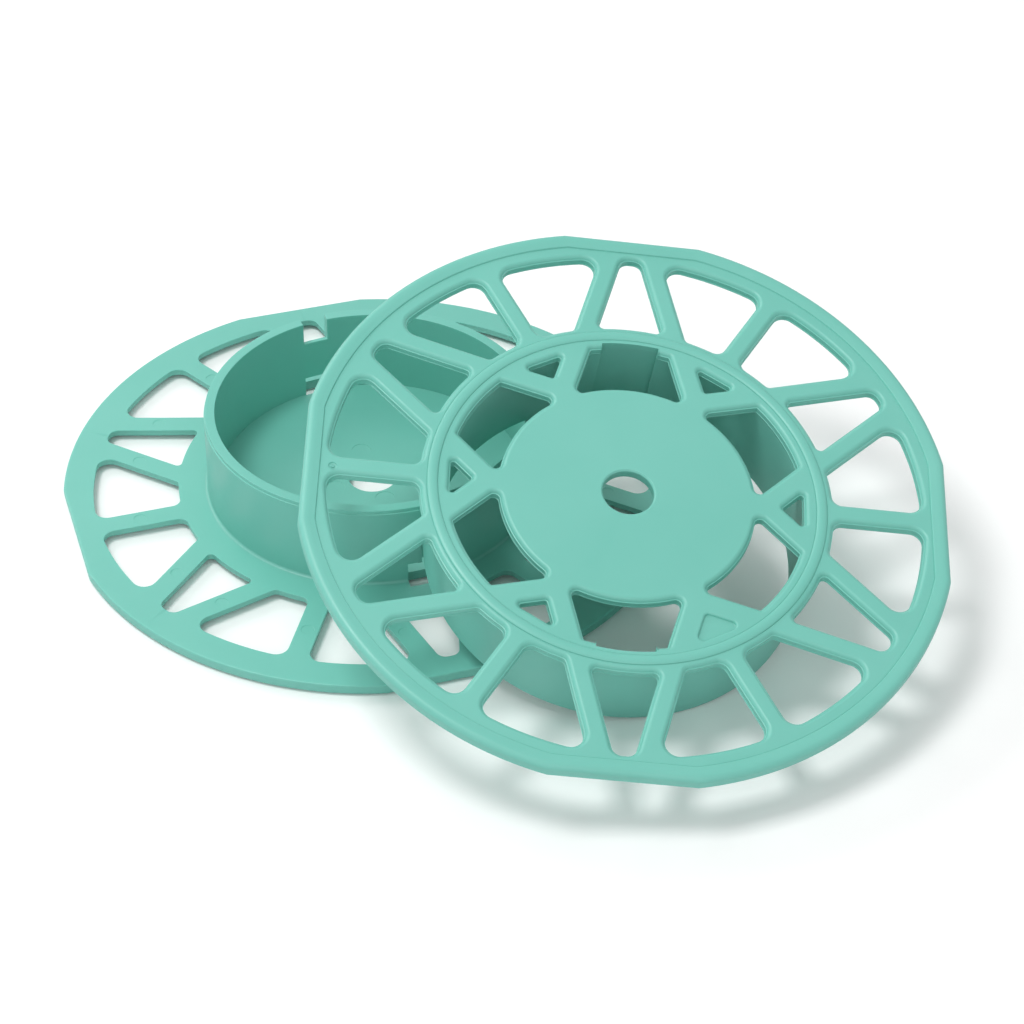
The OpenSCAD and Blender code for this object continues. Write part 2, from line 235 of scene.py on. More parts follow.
class SpoolDrumSizes(bpy.types.PropertyGroup):
    """Sizes of the two drums, the lock between them and the cover's web."""

    cover_r: length("Cover drum radius", 59.8, "Outer radius of the cover half's drum")
    cover_h: length("Cover drum height", 30.2, "Length of the cover half's drum")
    bore_web: length("Cover bore at the web", 55.5, "Radius of the cover drum's bore at the web")
    bore_end: length("Cover bore at the end", 56.2, "Radius of that bore at the free end")
    inner_r: length("Inner drum radius", 54.2, "Outer radius of the inner drum")
    inner_wall: length("Inner drum wall", 3.6, "Wall of the inner drum")
    inner_h: length("Inner drum height", 29.4, "Height of the inner drum")
    lip_height: length("Lip height", 1.3, "Height of the set-back edge round the rim")
    lip_back: length("Lip setback", 0.35, "How far that edge is set back")
    root: length("Root fillet", 1.0, "Fillet at the foot of the inner drum")
    channel_at: angle("Channel direction", 96.65, "Direction of the middle of the channels")
    channel_width: length("Channel width", 8.6, "Width of the channels and notches")
    channel_depth: length("Channel depth", 2.1, "Depth of the channels")
    notch_z: length("Notch floor", 21.1, "Height of the wall at the foot of the notches")
    lock_z: length("Lock window height", 6.7, "Height of the lock windows")
    lock_start: angle("Lock window start", 87.0, "Direction of the closed end of the lock windows")
    lock_end: angle("Lock window end", 101.5, "Direction of their open end")
    lock_out: length("Lock window radius", 57.2, "Outer radius of the lock windows in the flange")
    bump_height: length("Snap bump height", 1.0, "Height of the snap bumps")
    bump_start: angle("Snap bump start", 90.57, "Direction in which the snap bumps begin")
    lug_at: angle("Lug direction", 88.8, "Direction of the lugs once they are locked")
    lug_width: length("Lug width", 2.8, "Width of the lugs")
    lug_height: length("Lug height", 6.4, "Height of the lugs")
    lug_tip: length("Lug tip radius", 52.4, "Radius of the lugs' tips")
    lug_setback: length("Lug setback", 0.3, "How far the lugs stop short of the free end")
    bump_inset: length("Snap bump inset", 0.9, "From the inner drum's bore to the snap bumps")
    bump_end: angle("Snap bump end", 92.31, "Direction in which the snap bumps end")
    lock_inset: length("Lock window inset", 0.3, "How far the lock windows run in past the bore")
    web_ledge: length("Web ledge", 0.3, "Ledge between the web windows and the bore")
    disc_r: length("Disc radius", 39.8, "Radius of the solid disc in the cover half")
    strut_root: length("Strut root", 36.6, "Where the outer edges of a pair of struts would meet")
    strut_width: length("Strut width", 8.0, "Width of the slanted struts")
    trim_band: length("Trim band", 1.1, "From the bore to the small triangles")
    blind_depth: length("Blind triangle depth", 1.0, "Depth of the triangle that isn't cut through")
    blind_round: length("Blind triangle round", 0.75, "Rounding of that triangle's edge")
    blind_spread: length("Blind triangle spread", 0.8, "How much larger that triangle is than the others")
    blind_shift: length("Blind triangle shift", 0.6, "How much further out that triangle is")
    relief_half: length("Relief half width", 9.0, "Half the width of the reliefs in the bore")
    relief_r: length("Relief radius", 57.1, "Radius of the reliefs in the bore")
    spin: angle("Cover spin", -18.2, "Direction of one of the leaning half's spokes, from above")


class SpoolFinish(bpy.types.PropertyGroup):
    """Colour and surface of the moulded plastic."""

    body: colour("Plastic", (0.156, 0.515, 0.432), "Colour of the plastic")
    pale: colour("Pale streaks", (0.176, 0.540, 0.457), "Colour of the faint flow streaks")
    roughness: amount("Roughness", 0.42, "Roughness of the plastic")
    glow: amount("Translucency", 0.12, "How much light spreads inside the plastic")


# ---- Plane outlines ----
# An outline is an array of rows (x, y, outward x, outward y), anticlockwise; outward points away
# from the middle of the window, into the plastic. An edge is (point, direction).

def ray(turn):
    """Unit vectors at these angles: (cos t, sin t)."""
    return np.stack([np.cos(turn), np.sin(turn)], axis=-1)


def direction(point):
    """The angle of a point seen from the axis."""
    return math.atan2(point[1], point[0])


def swing(centre, radius, start, end, steps):
    """Arc from one angle to the other the short way round, with its outward directions."""
    turn = (end - start + 3 * math.pi) % (2 * math.pi) - math.pi
    way = ray(start + turn * np.linspace(0, 1, steps + 1))
    return np.hstack([np.asarray(centre) + radius * way, way])


def shifted(edge, distance):
    """The edge moved to its left by a distance."""
    return edge[0] + distance * ray(edge[1] + math.pi / 2), edge[1]


def turned(rows, turn):
    """Points, and outward directions where the rows have them, turned about the axis."""
    c, s = math.cos(turn), math.sin(turn)
    spin = np.array([[c, s], [-s, c]])
    return np.hstack([rows[:, i:i + 2] @ spin for i in range(0, rows.shape[1], 2)])


def turned_edge(edge, turn):
    """The edge turned about the axis."""
    return turned(np.array([edge[0]]), turn)[0], edge[1] + turn


def mirrored_edge(edge):
    """The edge mirrored in the X axis."""
    return edge[0] * (1, -1), -edge[1]


def mirrored(outline):
    """The outline mirrored in the X axis, still anticlockwise."""
    return (outline * (1, -1, 1, -1))[::-1]


def corner_centre(edge, side, rho, radius):
    """Centre of a corner: at one radius beside the edge and at distance rho from the axis."""
    along = ray(edge[1])
    foot = edge[0] + side * radius * ray(edge[1] + math.pi / 2)
    middle = foot @ along
    return foot + (math.sqrt(rho ** 2 - foot @ foot + middle ** 2) - middle) * along


def sector(low, high, r_in, r_out, radii):
    """Window between two edges and two circles, each of its four corners a tangent arc."""
    quarter = math.pi / 2
    low_in = corner_centre(low, 1, r_in + radii[0], radii[0])
    low_out = corner_centre(low, 1, r_out - radii[1], radii[1])
    high_out = corner_centre(high, -1, r_out - radii[2], radii[2])
    high_in = corner_centre(high, -1, r_in + radii[3], radii[3])
    inner = swing((0, 0), r_in, direction(high_in), direction(low_in), ARC_STEPS)
    inner[:, 2:] *= -1
    return np.vstack([
        swing(low_in, radii[0], direction(low_in) + math.pi, low[1] - quarter, CORNER_STEPS),
        swing(low_out, radii[1], low[1] - quarter, direction(low_out), CORNER_STEPS),
        swing((0, 0), r_out, direction(low_out), direction(high_out), ARC_STEPS)[1:-1],
        swing(high_out, radii[2], direction(high_out), high[1] + quarter, CORNER_STEPS),
        swing(high_in, radii[3], high[1] + quarter, direction(high_in) + math.pi, CORNER_STEPS),
        inner[1:-1],
    ])


def circle(centre, radius, count):
    """Circle as an outline."""
    way = ray(2 * math.pi * np.arange(count) / count)
    return np.hstack([np.asarray(centre) + radius * way, way])


def flange_windows(f):
    """The eighteen windows between the spokes: a triangle and two four-sided ones, six times."""
    reach = f["window_out"] - f["window_in"]
    lean = math.atan2(f["slant_root"] - f["slant_tip"], reach)
    slant = (np.array([f["window_in"], -f["slant_root"]]), lean)
    low = shifted(slant, f["slant_width"] / 2)
    triangle = sector(low, mirrored_edge(low), f["window_in"], f["window_out"], TRIANGLE_CORNERS)
    side = (np.array([0, f["radial_width"] / 2]), 0.0)
    far = turned_edge(shifted(slant, -f["slant_width"] / 2), SPOKE_PITCH / 2)
    quad = sector(side, far, f["window_in"], f["window_out"], QUAD_CORNERS)
    made = []
    for i in range(6):
        made.append(turned(quad, i * SPOKE_PITCH))
        made.append(turned(mirrored(quad), i * SPOKE_PITCH))
        made.append(turned(triangle, (i + 0.5) * SPOKE_PITCH))
    return made


def web_window(d):
    """Large window of the cover's web, between two struts, symmetrical about 30 degrees."""
    low = (np.array([d["strut_root"], 0.0]), math.radians(45))
    high = turned_edge(mirrored_edge(low), SPOKE_PITCH)
    return sector(low, high, d["disc_r"], d["bore_web"] - d["web_ledge"], WEB_CORNERS)


def relieved(outline, d):
    """Web window with the square relief cut out of its outer end.

    Points of the outer arc within the relief's width are replaced by the relief's own outline,
    whose outward directions are nothing, so that its walls stay upright and sharp.
    """
    half, out = d["relief_half"], d["relief_r"]
    edge = d["bore_web"] - d["web_ledge"]
    outline = turned(outline, -SPOKE_PITCH / 2)
    lip = math.sqrt(edge ** 2 - half ** 2)
    corner = math.sqrt(out ** 2 - half ** 2)
    inside = (outline[:, 0] > lip - RELIEF_SEARCH) & (np.abs(outline[:, 1]) < half)
    first = int(np.flatnonzero(inside)[0])
    ends = np.array([[lip, -half, lip, -half], [lip, -half, 0, 0]])
    ends[0, 2:] /= edge
    arc = swing((0, 0), out, -math.asin(half / out), math.asin(half / out), ARC_STEPS)
    arc[:, 2:] = 0
    arc[0, :2], arc[-1, :2] = (corner, -half), (corner, half)
    far_ends = (ends * (1, -1, 1, -1))[::-1]
    kept = outline[~inside]
    return turned(np.vstack([kept[:first], ends, arc, far_ends, kept[first:]]), SPOKE_PITCH / 2)


def trim_window(d):
    """Small triangle with its apex towards the axis, its corners rounded."""
    apex = d["strut_root"] + d["strut_width"] * math.sqrt(2)
    base = d["bore_web"] - d["trim_band"]
    half = base - apex
    x, y = base - TRIM_CORNER, half - TRIM_CORNER / math.tan(math.radians(22.5))
    turn = np.radians([135, 225, -135, 0, 0, 135])
    return np.vstack([
        swing((apex + TRIM_CORNER * math.sqrt(2), 0), TRIM_CORNER, turn[0], turn[1], CORNER_STEPS),
        swing((x, -y), TRIM_CORNER, turn[2], turn[3], CORNER_STEPS),
        swing((x, y), TRIM_CORNER, turn[4], turn[5], CORNER_STEPS),
    ])


def lock_window(d):
    """Sector of the flange under a lock window, with square corners."""
    start, end = d["lock_start"], d["lock_end"]
    inner = swing((0, 0), d["inner_r"] - d["inner_wall"] - d["lock_inset"], end, start, LOCK_STEPS)
    rows = np.vstack([swing((0, 0), d["lock_out"], start, end, LOCK_STEPS), inner])
    rows[:, 2:] = 0
    return rows


# ---- Skins: points in millimetres and faces ----

def band(rows):
    """Four-sided faces over rows of points: row k is the loop at step k of a profile."""
    count, across = rows.shape[:2]
    index = np.arange(count * across).reshape(count, across)
    following = np.roll(index, -1, axis=1)
    faces = np.stack([index[:-1], following[:-1], following[1:], index[1:]], axis=-1)
    return rows.reshape(-1, 3), faces.reshape(-1, 4)


def lifted(plan, level):
    """Rows of plane points with a height added to each: one for each row, each column or each point."""
    return np.concatenate([plan, np.broadcast_to(level, plan.shape[:2] + (1,))], axis=-1)


def flat(loops, z):
    """Triangles at height z, inside the first loop and outside the others.

    A constrained triangulation keeps every edge of the loops, so that bands meet it point to point.
    """
    ends = np.cumsum([len(loop) for loop in loops])
    rings = [list(range(end - len(loop), end)) for loop, end in zip(loops, ends.tolist())]
    corners = [Vector(p) for p in np.vstack(loops)[:, :2].tolist()]
    found, _, faces, *_ = delaunay_2d_cdt(corners, [], rings, INSIDE_WITHOUT_HOLES, TINY)
    points = np.array([(p.x, p.y, z) for p in found])
    return points, np.array([list(f) for f in faces])


def offset_loop(outline, distance):
    """The outline moved outward by a distance, without points that fall together."""
    points = outline[:, :2] + distance * outline[:, 2:]
    apart = np.linalg.norm(points - np.roll(points, 1, axis=0), axis=1) > APART
    return points[apart]


def stacked(outline, out, high):
    """Skin between copies of an outline, each moved outward by its own offset, at its own height."""
    plan = outline[None, :, :2] + np.asarray(out)[:, None, None] * outline[None, :, 2:]
    return band(lifted(plan, np.asarray(high)[:, None, None]))


def window_wall(outline, top, bottom, f):
    """Wall of a window from the inner face at top to the outer face at bottom.

    The wall opens by the broken edge at the top, through a small slope, then by a fine foot ledge
    and by the draft on its way down. Another ledge follows, and part of an ellipse down to the outer
    face, from the slope at t0 to the flat: offset = start + fillet (1 - cos t / cos t0),
    height = bottom + rise (1 - sin t) / (1 - sin t0).
    """
    edge, foot, rise = f["break_edge"], f["window_foot"], f["fillet_rise"]
    t = np.linspace(EDGE_START, math.pi / 2, FILLET_STEPS + 1)
    wall = foot + f["window_draft"]
    low = bottom + rise
    out = np.concatenate([
        [edge, edge * SLOPE, 0, 0, foot, wall],
        wall + f["window_ledge"] + f["fillet"] * (1 - np.cos(t) / math.cos(EDGE_START)),
    ])
    ledge_top, ledge_bottom = top - FOOT_LEDGE[0], top - FOOT_LEDGE[1]
    slope_top = low + f["window_ledge"] * SLOPE
    high = np.concatenate([
        [top, top - edge * SLOPE, top - edge, ledge_top, ledge_bottom, slope_top],
        bottom + rise * (1 - np.sin(t)) / (1 - math.sin(EDGE_START)),
    ])
    return stacked(outline, out, high)


def window_opening(f):
    """How much wider a window is on the outer face than on the inner one."""
    return f["window_foot"] + f["window_draft"] + f["window_ledge"] + f["fillet"]


def blind_pocket(outline, face, depth, fillet):
    """Pocket that isn't cut through: its skin from the face, round a quarter circle, to its floor."""
    t = np.linspace(math.pi / 2, 0, FILLET_STEPS + 1)
    inset, rise = BLIND_FOOT
    out = np.concatenate([fillet * (1 - np.cos(t)), [0, -inset]])
    high = np.concatenate([face + fillet * (1 - np.sin(t)), [face + depth - rise, face + depth]])
    return [stacked(outline, out, high), flat([offset_loop(outline, out[-1])], face + depth)]


def stub(centre, radius, low, high):
    """Broken stub of plastic: a low cone with a tilted top, closed above and below.

    Its loops have 1, 0.92, 0.75 and 0.4 of the radius, and all but the lowest are tilted:
    height = level + 0.18 radius cos t.
    """
    way = ray(2 * math.pi * np.arange(STUB_POINTS) / STUB_POINTS)
    path = radius * np.array([[1, 0], [0.92, 0], [0.75, 0], [0.4, 0]])
    path[:, 1] = low, high * 0.4 + low * 0.6, high, high
    plan = np.asarray(centre) + path[:, None, :1] * way[None]
    level = path[:, None, 1:] + 0.18 * radius * way[None, :, :1] * (path[:, None, 1:] != low)
    rows = lifted(plan, level)
    ends = [(rows[i], [list(range(STUB_POINTS))]) for i in (0, -1)]
    return [band(rows)] + ends


def rounded_path(corners, radii):
    """Broken line whose inner corners give way to arcs tangent to both their sides."""
    corners = np.array(corners, float)
    path = [corners[:1]]
    for before, corner, after, radius in zip(corners, corners[1:], corners[2:], radii):
        back, ahead = before - corner, after - corner
        back, ahead = back / np.linalg.norm(back), ahead / np.linalg.norm(ahead)
        half = math.acos(np.clip(back @ ahead, -1, 1)) / 2
        middle = back + ahead
        centre = corner + middle / np.linalg.norm(middle) * radius / math.sin(half)
        start = corner + back * radius / math.tan(half) - centre
        end = corner + ahead * radius / math.tan(half) - centre
        path.append(swing(centre, radius, direction(start), direction(end), PROFILE_STEPS)[:, :2])
    return np.vstack(path + [corners[-1:]])


def flatted_circle(f):
    """Unit outline with four flats: radius 1, or cos(half angle) / cos(t) within a flat."""
    half = f["flat_half_angle"]
    flat_part = np.linspace(-half, half, FLAT_POINTS)
    round_part = np.linspace(half, math.pi / 2 - half, ROUND_POINTS)[1:-1]
    part = np.concatenate([flat_part, round_part])
    rho = np.where(np.abs(part) <= half + 1e-9, math.cos(half) / np.cos(part), 1.0)
    quarter = rho[:, None] * ray(part)
    return np.vstack([turned(quarter, i * math.pi / 2) for i in range(4)])


def carried(path, loop):
    """A profile of (radius, height) carried round: each loop is the unit loop times the radius."""
    return band(lifted(path[:, None, :1] * loop[None], path[:, None, 1:]))


def pocket(centre, radius, depth, face, up):
    """Shallow round mark: its loop in the face, and the skin of its wall and floor.

    The wall narrows by 0.4 of the depth over its upper 0.8, and by the depth at its foot.
    """
    rim = circle(centre, radius, MARK_POINTS)
    path = np.array([
        [radius, face],
        [radius - depth * 0.4, face - up * depth * 0.8],
        [radius - depth, face - up * depth],
    ])
    plan = np.asarray(centre) + path[:, None, :1] * rim[None, :, 2:]
    return rim[:, :2], [band(lifted(plan, path[:, None, 1:])), flat([plan[-1]], path[-1, 1])]


def rim_profile(f):
    """Profile of the rim as (radius, height), from the outer face to the inner one."""
    plate, groove = f["plate"], f["groove"]
    step, top = f["radius"] - f["rim_width"], -(plate + f["rim_rise"])
    crest = f["radius"] - f["shoulder"]
    corners = [
        (step - groove - RIM_STRIP, -plate), (step - groove, -plate), (step, groove - plate),
        (step + f["step_rise"] / 2, -plate - f["step_rise"]), (crest - f["crest"], top), (crest, top),
        (f["radius"] - f["rim_inset"], -plate), (f["radius"], 0), (f["radius"] - INNER_STRIP, 0),
    ]
    return rounded_path(corners, [*RIM_ROUNDS, f["outer_edge"]])


def bead_profile(f):
    """Profile of the raised ring, from its outer foot to its inner one, each with a fine groove.

    Half an ellipse, a little flattened at its feet: height = rise (sin t) ^ 1.15.
    """
    groove, half = f["groove"], f["bead_width"] / 2
    turn = np.linspace(0, math.pi, BEAD_POINTS)
    arch = np.stack([
        f["bead_out"] - half + half * np.cos(turn),
        -f["plate"] - f["bead_rise"] * np.clip(np.sin(turn), 0, 1) ** BEAD_FLATTENING,
    ], axis=-1)
    first, last = arch[:1], arch[-1:]
    outer_foot = [first + (STRIP, 0), first + (groove, 0), first + (0, groove)]
    inner_foot = [last + (0, groove), last - (groove, 0), last - (STRIP, 0)]
    return np.vstack([*outer_foot, arch[1:-1], *inner_foot])


def bore_profile(f):
    """Profile of the arbor hole, from the inner face to the chamfer at the outer one."""
    r, plate, chamfer = f["arbor"], f["plate"], BORE_CHAMFER
    corners = [
        (r + STRIP, 0), (r, 0), (r, chamfer - plate), (r + chamfer, -plate),
        (r + chamfer + BORE_STRIP, -plate),
    ]
    return rounded_path(corners, BORE_ROUNDS)


def flange_skin(f, windows, sharp_windows, marks=(), outer_marks=(), blinds=()):
    """Closed skin of a flange: both faces, the rim, the raised ring, the arbor hole, all windows.

    windows get the fillet on the outer face; sharp_windows have upright walls; marks are ejector
    marks on the inner face as (x, y, radius, depth) and outer_marks such marks outside the raised
    ring; blinds are pockets within the ring as (outline, depth, fillet).
    """
    plate, edge, opening = f["plate"], f["break_edge"], window_opening(f)
    shape, ring = flatted_circle(f), circle((0, 0), 1.0, RING_POINTS)[:, :2]
    rim, bead, bore = rim_profile(f), bead_profile(f), bore_profile(f)
    skins = [carried(rim, shape), carried(bead, ring), carried(bore, ring)]
    skins += [window_wall(w, 0, -plate, f) for w in windows]
    skins += [stacked(w, [0, 0], [0, -plate]) for w in sharp_windows]
    outer_loops, inner_loops = [], []
    for x, y, radius, depth in outer_marks:
        loop, mark = pocket((x, y), radius, depth, -plate, -1)
        outer_loops.append(loop)
        skins += mark
    for outline, depth, round_off in blinds:
        skins += blind_pocket(outline, -plate, depth, round_off)
    outside = [w for w in windows if np.hypot(*w[:, :2].T).min() > f["bead_out"]]
    inside = [w for w in windows if np.hypot(*w[:, :2].T).min() < f["bead_out"]]
    sharp = [offset_loop(w, 0) for w in sharp_windows]
    skins.append(flat([
        rim[0, 0] * shape, bead[0, 0] * ring,
        *(offset_loop(w, opening) for w in outside), *outer_loops,
    ], -plate))
    skins.append(flat([
        bead[-1, 0] * ring, bore[-1, 0] * ring,
        *(offset_loop(w, opening) for w in inside), *sharp,
        *(offset_loop(w, round_off) for w, _, round_off in blinds),
    ], -plate))
    for x, y, radius, depth in marks:
        loop, mark = pocket((x, y), radius, depth, 0.0, 1)
        inner_loops.append(loop)
        skins += mark
    skins.append(flat([
        rim[-1, 0] * shape, bore[0, 0] * ring,
        *(offset_loop(w, edge) for w in windows), *sharp, *inner_loops,
    ], 0.0))
    return skins


def cell_borders(cuts):
    """Borders between cells round the axis, and the middle of each cell within its half turn.

    The borders are the given cuts and the same half a turn on, in degrees, with evenly spaced ones
    between them that aren't close to a cut.
    """
    breaks = np.concatenate([cuts, cuts + 180])
    even = np.arange(0, 360, DRUM_PITCH_DEGREES)
    gap = np.abs((even[:, None] - breaks[None] + 180) % 360 - 180).min(axis=1)
    turns = np.sort(np.concatenate([even[gap > DRUM_PITCH_DEGREES * PITCH_SHARE], breaks % 360]))
    return turns, (turns + ((np.roll(turns, -1) - turns) % 360) / 2) % 180


def cell_skin(turns, levels, radii, solid, moved=None):
    """Wall round the axis made of cells: a face stands wherever a filled cell meets an empty one.

    solid is indexed by turn, level and radius; moved gives each point's own radius from its cell
    border's radius and height.
    """
    shape = (len(turns), len(levels), len(radii))
    index = np.arange(np.prod(shape)).reshape(shape)
    filled = np.pad(solid, ((0, 0), (1, 1), (1, 1)))
    after = np.roll(index, -1, axis=0)
    faces = []
    before = np.roll(filled, 1, axis=0)[:, 1:-1, 1:-1]
    here = filled[:, 1:-1, 1:-1]
    ring = [index[:, :-1, :-1], index[:, 1:, :-1], index[:, 1:, 1:], index[:, :-1, 1:]]
    faces += [(before & ~here, ring), (~before & here, ring[::-1])]
    low, high = filled[:, :-1, 1:-1], filled[:, 1:, 1:-1]
    ring = [index[:, :, :-1], index[:, :, 1:], after[:, :, 1:], after[:, :, :-1]]
    faces += [(low & ~high, ring), (~low & high, ring[::-1])]
    low, high = filled[:, 1:-1, :-1], filled[:, 1:-1, 1:]
    ring = [index[:, :-1], after[:, :-1], after[:, 1:], index[:, 1:]]
    faces += [(low & ~high, ring), (~low & high, ring[::-1])]
    quads = np.concatenate([np.stack([r[mask] for r in ring], axis=-1) for mask, ring in faces])
    turn, level, radius = np.meshgrid(np.radians(turns), levels, radii, indexing="ij")
    radius = moved(radius, level) if moved else radius
    points = np.stack([radius * np.cos(turn), radius * np.sin(turn), level], axis=-1).reshape(-1, 3)
    used, quads = np.unique(quads, return_inverse=True)
    return points[used], quads.reshape(-1, 4)


def softened(skin, width):
    """The skin with its sharp edges above the flange rounded off."""
    mesh = bmesh.new()
    points = [mesh.verts.new(p) for p in skin[0].tolist()]
    for face in skin[1].tolist():
        mesh.faces.new([points[i] for i in face])
    bmesh.ops.recalc_face_normals(mesh, faces=mesh.faces)
    sharp = [
        e for e in mesh.edges
        if e.calc_face_angle(0) > math.radians(SOFT_DEGREES)
        and min(v.co.z for v in e.verts) > SOFT_ABOVE
    ]
    bmesh.ops.bevel(
        mesh, geom=sharp, offset=width, segments=SOFT_SEGMENTS, profile=0.5, affect="EDGES",
        clamp_overlap=True,
    )
    mesh.verts.index_update()
    made = np.array([v.co[:] for v in mesh.verts])
    faces = [[v.index for v in f.verts] for f in mesh.faces]
    mesh.free()
    return made, faces


# ---- The two mouldings ----

def inner_drum_skin(d):
    """Inner drum: a wall with two notches, channels and lock windows, half a turn apart.

    Cells are emptied where the wall is cut, and the outermost layer where the rim is set back. The
    levels are the sunk foot, the lock windows, the snap bumps, the wall, the notches and the rim; the
    layers count outward from the bore.
    """
    bore, floor_r = d["inner_r"] - d["inner_wall"], d["inner_r"] - d["channel_depth"]
    half = math.degrees(math.asin(d["channel_width"] / 2 / ((bore + d["inner_r"]) / 2)))
    middle = math.degrees(d["channel_at"])
    start, end = math.degrees(d["lock_start"]), math.degrees(d["lock_end"])
    bump, bump_end = math.degrees(d["bump_start"]), math.degrees(d["bump_end"])
    cuts = np.array([start, bump, bump_end, middle - half, end])
    turns, cell = cell_borders(cuts)
    levels = np.array([
        -SUNK, 0, d["lock_z"] - d["bump_height"], d["lock_z"], d["notch_z"],
        d["inner_h"] - d["lip_height"], d["inner_h"],
    ])
    radii = np.array([
        bore, bore + d["bump_inset"], floor_r, d["inner_r"] - d["bump_inset"],
        d["inner_r"] - d["lip_back"], d["inner_r"],
    ])
    solid = np.ones((len(turns), len(levels) - 1, len(radii) - 1), bool)
    solid[:, 5, 4] = False
    lock = (cell > start) & (cell < end)
    channel = (cell > middle - half) & (cell < end)
    snap = (cell > bump) & (cell < bump_end)
    solid[lock, :3] = False
    solid[np.ix_(snap, [2], [1, 2])] = True
    solid[np.ix_(channel, [3, 4, 5], [2, 3, 4])] = False
    solid[channel, 4:] = False
    return softened(cell_skin(turns, levels, radii, solid), INNER_SOFTENING)


def root_skin(d):
    """Fillets at the foot of the inner drum, in two stretches between the lock windows.

    The section is a corner piece with a hollow quarter round; its ends are closed.
    """
    r, root = d["inner_r"], d["root"]
    hollow = swing((r + root, root), root, 1.5 * math.pi, math.pi, FILLET_STEPS)[:, :2]
    section = np.vstack([
        [(r - SUNK_INSET, root), (r - SUNK_INSET, -SUNK_INSET), (r + root, -SUNK_INSET)], hollow,
    ])
    skins = []
    for side in (0, math.pi):
        turn = np.linspace(d["lock_end"] + side, d["lock_start"] + math.pi + side, ROOT_TURNS)
        rows = lifted(section[None, :, :1] * ray(turn)[:, None], section[None, :, 1:])
        skins.append(band(rows))
        for end in (rows[0], rows[-1]):
            skins.append((end, [list(range(len(end)))]))
    return skins


def cover_drum_skin(d):
    """Cover drum: a wall whose bore opens towards its free end, with two reliefs and two lugs.

    The levels are the sunk foot, the wall, the lugs and the setback above them; the layers are the
    lugs, the reliefs and the outer wall.
    """
    half = math.degrees(math.asin(d["relief_half"] / d["relief_r"]))
    lug = math.degrees(d["lug_width"] / 2 / d["inner_r"])
    lug_at = -math.degrees(d["lug_at"]) % 180
    cuts = np.array([90 - half, lug_at - lug, lug_at + lug, 90 + half])
    turns, cell = cell_borders(cuts)
    lug_top = d["cover_h"] - d["lug_setback"]
    levels = np.array([-SUNK, 0, d["cover_h"] - d["lug_height"], lug_top, d["cover_h"]])
    radii = np.array([d["lug_tip"], d["bore_web"], d["relief_r"], d["cover_r"]])
    solid = np.ones((len(turns), len(levels) - 1, len(radii) - 1), bool)
    solid[:, :, 0] = False
    relief = np.abs(cell - 90) < half
    solid[relief, :2, 1] = False
    solid[np.abs(cell - lug_at) < lug, 2, 0] = True
    draft = d["bore_end"] - d["bore_web"]

    def moved(radius, level):
        """The bore opens evenly with height, and below the flange's face both walls draw closer."""
        on_bore, outer = np.abs(radius - d["bore_web"]) < NEAR, radius > d["relief_r"] + NEAR
        opened = radius + draft * np.clip(level / d["cover_h"], 0, 1) * on_bore
        return opened + np.clip(-level / SUNK, 0, 1) * np.where(outer, -SUNK_INSET, SUNK_INSET)

    return softened(cell_skin(turns, levels, radii, solid, moved), COVER_SOFTENING)


def drum_half_marks(f):
    """Ejector-pin marks on the drum half's inner face, one on every spoke and three in the drum.

    A slanted spoke is h = root + (tip - root) (x - in) / (out - in) off its window's middle line.
    """
    along = (f["pin_at"] - MARK_SHORTFALL - f["window_in"]) / (f["window_out"] - f["window_in"])
    beside = math.asin((f["slant_root"] + (f["slant_tip"] - f["slant_root"]) * along) / f["pin_at"])
    turns = []
    for i in range(6):
        middle = (i + 0.5) * SPOKE_PITCH
        turns += [i * SPOKE_PITCH, middle - beside, middle + beside]
    return [(*(f["pin_at"] * ray(a)), f["pin_radius"], f["pin_depth"]) for a in turns] + [
        (x, y, f["floor_pin"], f["pin_depth"]) for x, y in FLOOR_MARKS
    ]


def gate_mark(f):
    """Place of the gate's mark on the cover half's outer face, on one of its radial spokes."""
    return -f["gate_at"], GATE_OFFSET


# ---- Blender objects ----

def spool_object(name, skins, place, material):
    """One mesh object from several closed skins, welded, facing outwards, in metres."""
    mesh = bmesh.new()
    for points, faces in skins:
        points = [mesh.verts.new(p) for p in np.asarray(points, float).tolist()]
        for face in faces:
            corners = [points[int(i)] for i in face]
            mesh.faces.new(corners)
    bmesh.ops.remove_doubles(mesh, verts=mesh.verts, dist=WELD)
    bmesh.ops.dissolve_degenerate(mesh, edges=mesh.edges, dist=TINY)
    bmesh.ops.recalc_face_normals(mesh, faces=mesh.faces)
    mesh.transform(place @ Matrix.Scale(MM, 4))
    data = bpy.data.meshes.new(name)
    mesh.to_mesh(data)
    mesh.free()
    data.shade_smooth()
    data.set_sharp_from_angle(angle=math.radians(SHARP_DEGREES))
    data.materials.append(material)
    piece = bpy.data.objects.new(name, data)
    bpy.context.scene.collection.objects.link(piece)
    weigh = piece.modifiers.new("Even shading", "WEIGHTED_NORMAL")
    weigh.keep_sharp = True
    weigh.weight = FACE_WEIGHT
    return piece


def sizes_in_mm(group):
    """The group's lengths in millimetres and its angles in radians, by name."""
    made = {}
    for name, prop in group.bl_rna.properties.items():
        if prop.type == "FLOAT" and not prop.is_array:
            value = getattr(group, name)
            made[name] = value / MM if prop.unit == "LENGTH" else value
    return made


def cover_place(spin):
    """Where the cover half lies: turned over, leaned and set on the arbor mount in the record."""
    mount = next(m for m in frame["record"]["mounts"] if m["name"] == "cover_half_arbor")
    axis = Vector(mount["axis"]).normalized()
    heading, tilt = math.atan2(axis.y, axis.x), math.acos(axis.z)
    return (
        Matrix.Translation(Vector(mount["pos_m"]))
        @ Matrix.Rotation(heading, 4, "Z")
        @ Matrix.Rotation(tilt, 4, "Y")
        @ Matrix.Rotation(spin - heading, 4, "Z")
        @ Matrix.Rotation(math.pi, 4, "X")
    )


